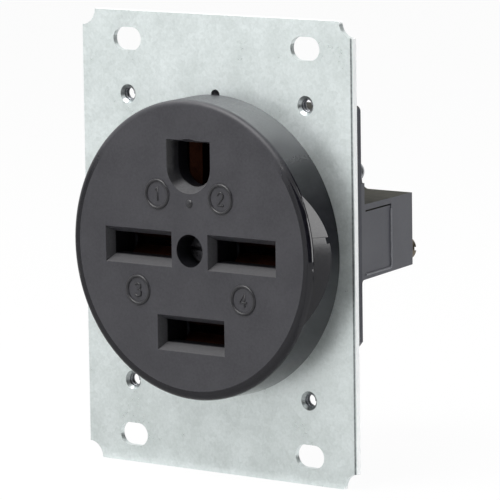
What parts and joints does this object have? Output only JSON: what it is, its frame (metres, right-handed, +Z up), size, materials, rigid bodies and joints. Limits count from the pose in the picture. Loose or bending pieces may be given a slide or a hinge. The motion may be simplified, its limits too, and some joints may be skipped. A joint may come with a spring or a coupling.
{
  "type": "flush mount receptacle",
  "caption": "Flush mount power receptacle: round dark face with level blade slots and a ground slot, on a galvanised strap, with a stepped rear housing.",
  "frame": {"origin": "on the strap's rear face, midway between the four box screw slots", "axes": "+X to the right as seen from the front, +Y rearwards into the wall box, +Z up"},
  "size_m": [0.0698, 0.0539, 0.0952],
  "materials": {
    "galvanised_steel": "dull galvanised, fine mottle",
    "face_plastic": "dark grey thermoset, polished rim",
    "base_plastic": "dark grey thermoset, as moulded",
    "copper_alloy": "bare copper alloy strip",
    "brass": "turned brass",
    "spring_steel": "blued spring steel",
    "screw_steel": "zinc plated",
    "ground_screw_green": "green dyed steel"
  },
  "bodies": {
    "root": {"mounting_strap": "galvanised_steel", "face": "face_plastic", "rear_base": "base_plastic", "side_cover_left": "base_plastic", "side_cover_right": "base_plastic", "contact_left": "copper_alloy", "contact_right": "copper_alloy", "contact_bottom": "copper_alloy", "contact_ground": "copper_alloy", "spring_collar_left": "spring_steel", "spring_collar_right": "spring_steel", "spring_collar_bottom": "spring_steel", "spring_collar_ground": "spring_steel", "wire_clamp_left": "brass", "wire_clamp_right": "brass", "wire_clamp_bottom": "brass", "wire_clamp_ground": "brass", "clamp_screw_left": "brass", "clamp_screw_right": "brass", "clamp_screw_bottom": "brass", "clamp_screw_ground": "ground_screw_green", "centre_screw": "screw_steel", "centre_insert": "brass", "strap_rivet_upper": "screw_steel", "strap_rivet_lower": "screw_steel", "bond_rivet": "screw_steel"}
  },
  "joints": []
}
